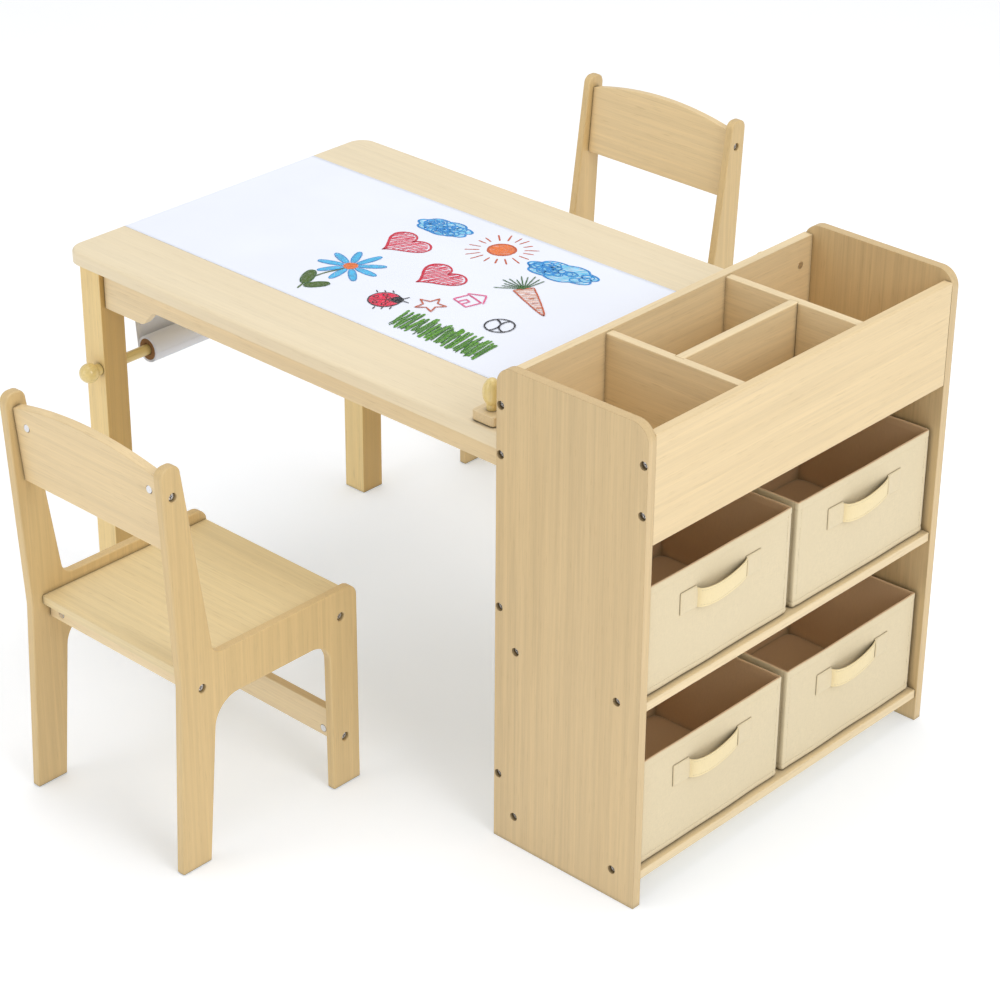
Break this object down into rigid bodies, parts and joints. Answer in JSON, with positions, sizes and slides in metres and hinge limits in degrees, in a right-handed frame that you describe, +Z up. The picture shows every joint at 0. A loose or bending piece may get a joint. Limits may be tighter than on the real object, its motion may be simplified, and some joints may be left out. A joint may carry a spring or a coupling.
{
  "type": "kids art table with storage and chairs",
  "caption": "Child's art table with paper roll and clamp, toy tray and fabric bins in an end shelf unit, and matching chairs.",
  "frame": {"origin": "on the floor, under the middle of the bounding box of the table and both chairs", "axes": "+X along the table towards the shelf unit's open front, +Y from the front chair to the back chair, +Z up"},
  "size_m": [0.9748, 1.2386, 0.61],
  "materials": {
    "laminate": "satin pale maple laminate",
    "chair_laminate": "satin pale maple laminate",
    "turned_wood": "satin turned wood",
    "paper": "matt drawing paper",
    "cardboard": "matt cardboard",
    "hardboard": "matt hardboard",
    "bin_fabric": "matt woven canvas",
    "steel": "dark zinc plated"
  },
  "bodies": {
    "table": {"tabletop": "laminate", "apron_front": "laminate", "apron_back": "laminate", "end_rail": "laminate", "leg_front": "laminate", "leg_back": "laminate", "table_dowels": "turned_wood", "side_panel_front": "laminate", "side_panel_back": "laminate", "back_board": "laminate", "back_rail_upper": "laminate", "back_rail_lower": "laminate", "front_fascia": "laminate", "tray_floor": "laminate", "divider_front": "laminate", "divider_back": "laminate", "divider_long": "laminate", "shelf_middle": "laminate", "shelf_bottom": "laminate", "shelf_bolts": "steel", "barrel_nuts": "steel", "joining_bolts": "steel", "clamp_inserts": "steel", "paper_sheet": "paper"},
    "roll_spindle": {"roll_rod": "turned_wood", "roll_knobs": "turned_wood"},
    "paper_supply": {"paper_roll": "paper", "roll_core": "cardboard"},
    "clamp": {"clamp_bar": "laminate"},
    "clamp_screw_front": {"clamp_bolt_front": "steel", "clamp_knob_front": "turned_wood"},
    "clamp_screw_back": {"clamp_bolt_back": "steel", "clamp_knob_back": "turned_wood"},
    "bin_upper_front": {"bin_upper_front": "bin_fabric", "bin_upper_front_base": "hardboard", "bin_upper_front_handle": "bin_fabric"},
    "bin_upper_back": {"bin_upper_back": "bin_fabric", "bin_upper_back_base": "hardboard", "bin_upper_back_handle": "bin_fabric"},
    "bin_lower_front": {"bin_lower_front": "bin_fabric", "bin_lower_front_base": "hardboard", "bin_lower_front_handle": "bin_fabric"},
    "bin_lower_back": {"bin_lower_back": "bin_fabric", "bin_lower_back_base": "hardboard", "bin_lower_back_handle": "bin_fabric"},
    "front_chair": {"front_chair_left_side": "chair_laminate", "front_chair_right_side": "chair_laminate", "front_chair_backrest": "chair_laminate", "front_chair_seat": "chair_laminate", "front_chair_seat_rails": "chair_laminate", "front_chair_stretcher": "chair_laminate", "front_chair_bolts": "steel"},
    "back_chair": {"back_chair_left_side": "chair_laminate", "back_chair_right_side": "chair_laminate", "back_chair_backrest": "chair_laminate", "back_chair_seat": "chair_laminate", "back_chair_seat_rails": "chair_laminate", "back_chair_stretcher": "chair_laminate", "back_chair_bolts": "steel"}
  },
  "joints": [
    {"name": "bin_upper_front_slide", "type": "slide", "parent": "table", "child": "bin_upper_front", "axis": [1, 0, 0], "range_m": [0, 0.2]},
    {"name": "bin_upper_back_slide", "type": "slide", "parent": "table", "child": "bin_upper_back", "axis": [1, 0, 0], "range_m": [0, 0.2]},
    {"name": "bin_lower_front_slide", "type": "slide", "parent": "table", "child": "bin_lower_front", "axis": [1, 0, 0], "range_m": [0, 0.2]},
    {"name": "bin_lower_back_slide", "type": "slide", "parent": "table", "child": "bin_lower_back", "axis": [1, 0, 0], "range_m": [0, 0.2]},
    {"name": "spindle_turn", "type": "hinge", "parent": "table", "child": "roll_spindle", "pos_m": [-0.45198, -0.0365, 0.3525], "axis": [0, 1, 0], "continuous": true},
    {"name": "paper_turn", "type": "hinge", "parent": "roll_spindle", "child": "paper_supply", "pos_m": [-0.45198, -0.0365, 0.3525], "axis": [0, 1, 0], "continuous": true},
    {"name": "clamp_lift", "type": "slide", "parent": "table", "child": "clamp", "axis": [0, 0, 1], "range_m": [0, 0.005]},
    {"name": "clamp_knob_front_turn", "type": "hinge", "parent": "clamp", "child": "clamp_screw_front", "pos_m": [0.22102, -0.2735, 0.54], "axis": [0, 0, 1], "range_deg": [0, 1440]},
    {"name": "clamp_knob_back_turn", "type": "hinge", "parent": "clamp", "child": "clamp_screw_back", "pos_m": [0.22102, 0.2005, 0.54], "axis": [0, 0, 1], "range_deg": [0, 1440]},
    {"name": "front_chair_slide", "type": "slide", "parent": "table", "child": "front_chair", "axis": [0, 1, 0], "range_m": [-0.3, 0.28]},
    {"name": "back_chair_slide", "type": "slide", "parent": "table", "child": "back_chair", "axis": [0, -1, 0], "range_m": [-0.3, 0.353]}
  ],
  "couplings": [
    {"joint": "clamp_knob_front_turn", "follows": "clamp_lift", "rad_per_m": 5026.5},
    {"joint": "clamp_knob_back_turn", "follows": "clamp_lift", "rad_per_m": 5026.5}
  ]
}
